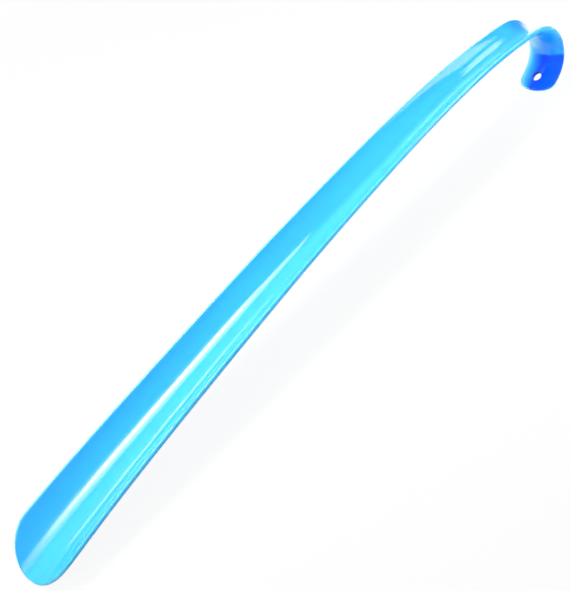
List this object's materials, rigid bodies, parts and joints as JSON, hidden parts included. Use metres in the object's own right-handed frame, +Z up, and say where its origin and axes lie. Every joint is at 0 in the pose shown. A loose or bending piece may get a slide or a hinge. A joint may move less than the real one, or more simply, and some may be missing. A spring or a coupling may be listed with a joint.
{
  "type": "shoe horn",
  "caption": "Long-handled shoe horn: a glossy plastic trough with a broad rounded blade that narrows to a slim shank and bends over its back into a hook with a hang hole.",
  "frame": {"origin": "middle of the space the part takes up, on the surface it lies on", "axes": "+Z up, out of the open trough; +X along the length from toe to hook; +Y across, the part being alike on both sides of Y = 0. It lies on its back, resting on the toe and on the tab of the hook."},
  "size_m": [0.3798, 0.0414, 0.0422],
  "materials": {
    "blue_plastic": "glossy, lightly translucent moulded plastic"
  },
  "bodies": {
    "root": {"blade": "blue_plastic", "shank": "blue_plastic", "hook": "blue_plastic"}
  },
  "joints": []
}
